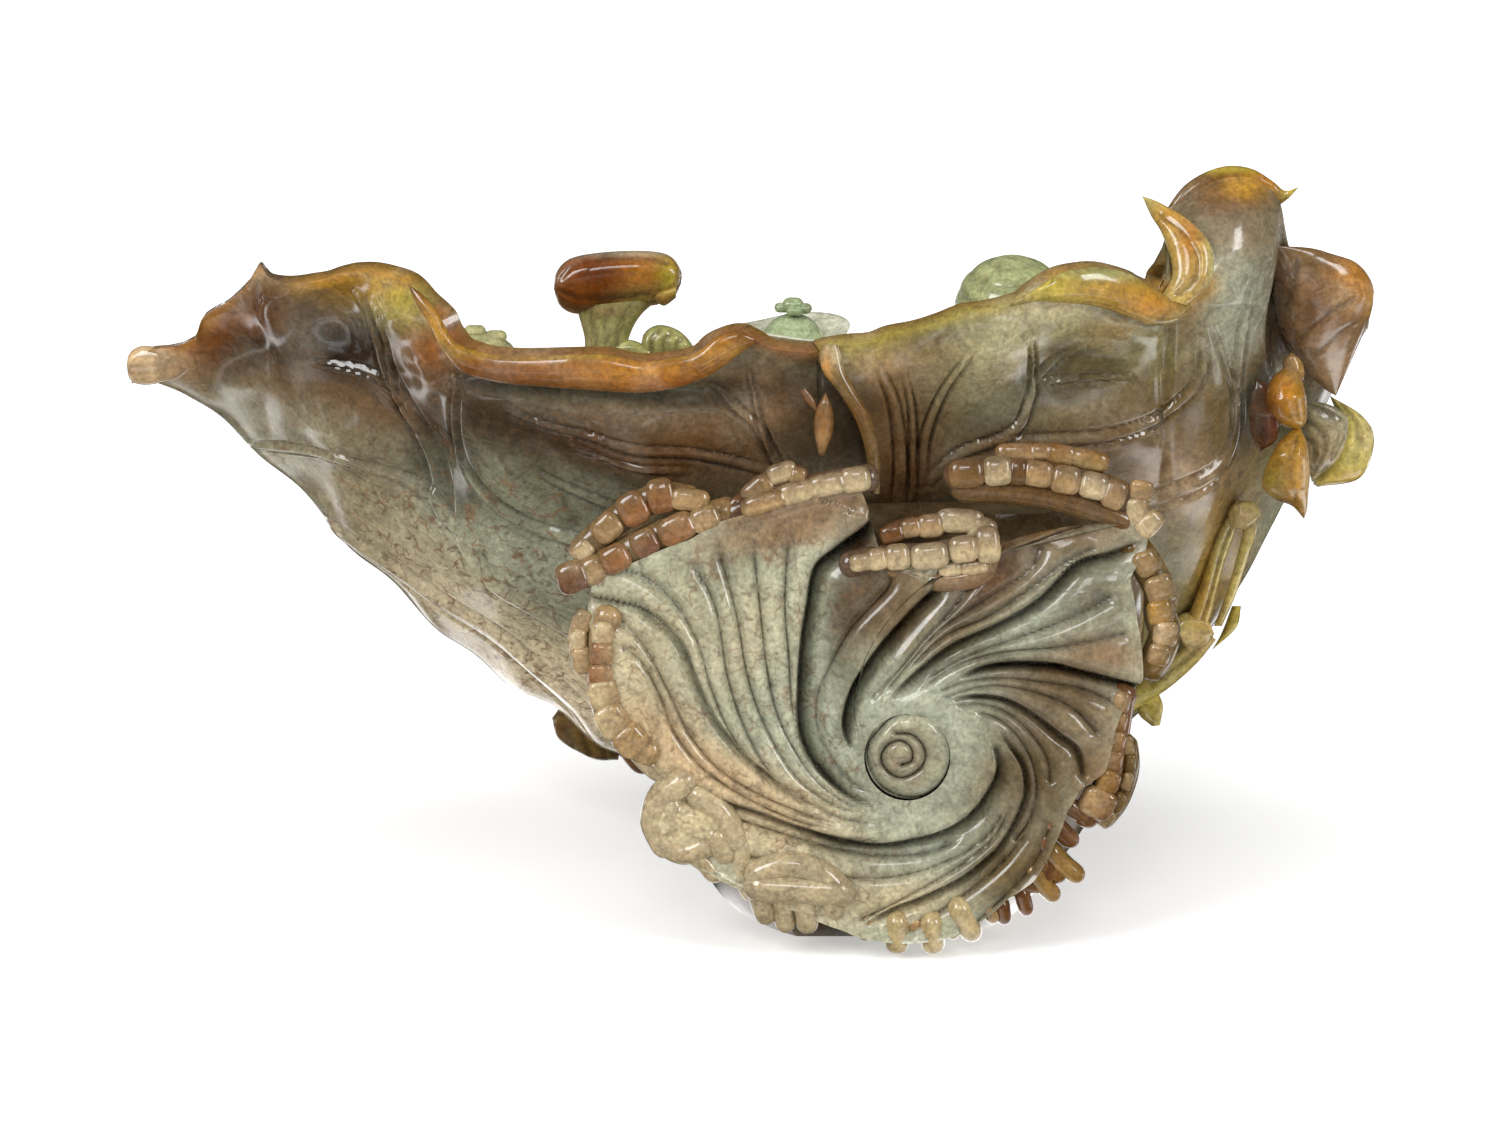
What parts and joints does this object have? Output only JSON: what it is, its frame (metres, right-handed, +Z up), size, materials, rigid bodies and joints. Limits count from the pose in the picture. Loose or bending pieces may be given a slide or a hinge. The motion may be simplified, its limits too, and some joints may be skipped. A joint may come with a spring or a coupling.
{
  "type": "jade lohan figure group",
  "caption": "Carved jade figure group: robed lohans in a folded lotus-leaf boat borne on a swirl of waves with beaded foam crests.",
  "frame": {"origin": "centre of the flat foot of the wave mound, on the surface that the carving stands on", "axes": "+Z up; +X along the leaf boat from its pointed bow to its stern; -Y towards the carved back with the swirl"},
  "size_m": [0.2576, 0.1303, 0.1526],
  "materials": {
    "jade_leaf": "polished",
    "jade_wave": "polished",
    "jade_cream": "polished",
    "jade_russet": "polished",
    "jade_honey": "polished",
    "jade_brown": "polished",
    "jade_olive": "polished",
    "jade_pale_green": "polished"
  },
  "bodies": {
    "root": {"foam_bottom": "jade_cream", "foam_left": "jade_cream", "foam_lower_left": "jade_cream", "foam_lower_right": "jade_cream", "foam_outer_right": "jade_cream", "foam_right": "jade_cream", "foam_upper": "jade_cream", "foam_upper_left": "jade_cream", "foam_upper_middle": "jade_cream", "foam_upper_right": "jade_cream", "front_foam_middle": "jade_cream", "front_foam_right": "jade_cream", "front_wave_left": "jade_wave", "front_wave_middle": "jade_wave", "front_wave_right": "jade_wave", "leaf_curl": "jade_honey", "leaf_fold": "jade_russet", "leaf_right_lobe": "jade_honey", "leaf_rim_far": "jade_russet", "leaf_rim_left": "jade_russet", "leaf_rim_right": "jade_russet", "leaf_shell": "jade_leaf", "leaf_tall_lobe": "jade_honey", "leaf_tip": "jade_russet", "lingzhi_large_cap": "jade_brown", "lingzhi_large_stem": "jade_olive", "lingzhi_small_cap": "jade_brown", "lingzhi_small_stem": "jade_olive", "lohan_center_collar": "jade_pale_green", "lohan_center_head": "jade_pale_green", "lohan_center_robe": "jade_pale_green", "lohan_center_sleeves": "jade_pale_green", "lohan_center_topknot": "jade_pale_green", "lohan_left_cap": "jade_pale_green", "lohan_left_head": "jade_pale_green", "lohan_left_robe": "jade_pale_green", "lohan_left_sleeves": "jade_pale_green", "lohan_right_head": "jade_pale_green", "lohan_right_hood": "jade_pale_green", "lohan_right_robe": "jade_pale_green", "lohan_right_sleeves": "jade_pale_green", "lotus_bud": "jade_olive", "lotus_flower": "jade_russet", "lotus_pod": "jade_olive", "lotus_stem_lower": "jade_olive", "lotus_stem_upper": "jade_olive", "wave_base": "jade_wave", "wave_bottom": "jade_wave", "wave_far_lobe": "jade_cream", "wave_left": "jade_wave", "wave_lower_left": "jade_wave", "wave_lower_right": "jade_wave", "wave_outer_right": "jade_wave", "wave_right": "jade_wave", "wave_upper_left": "jade_wave", "wave_upper_middle": "jade_wave", "wave_upper_right": "jade_wave", "whirl_coil": "jade_wave", "whirl_core": "jade_wave"}
  },
  "joints": []
}
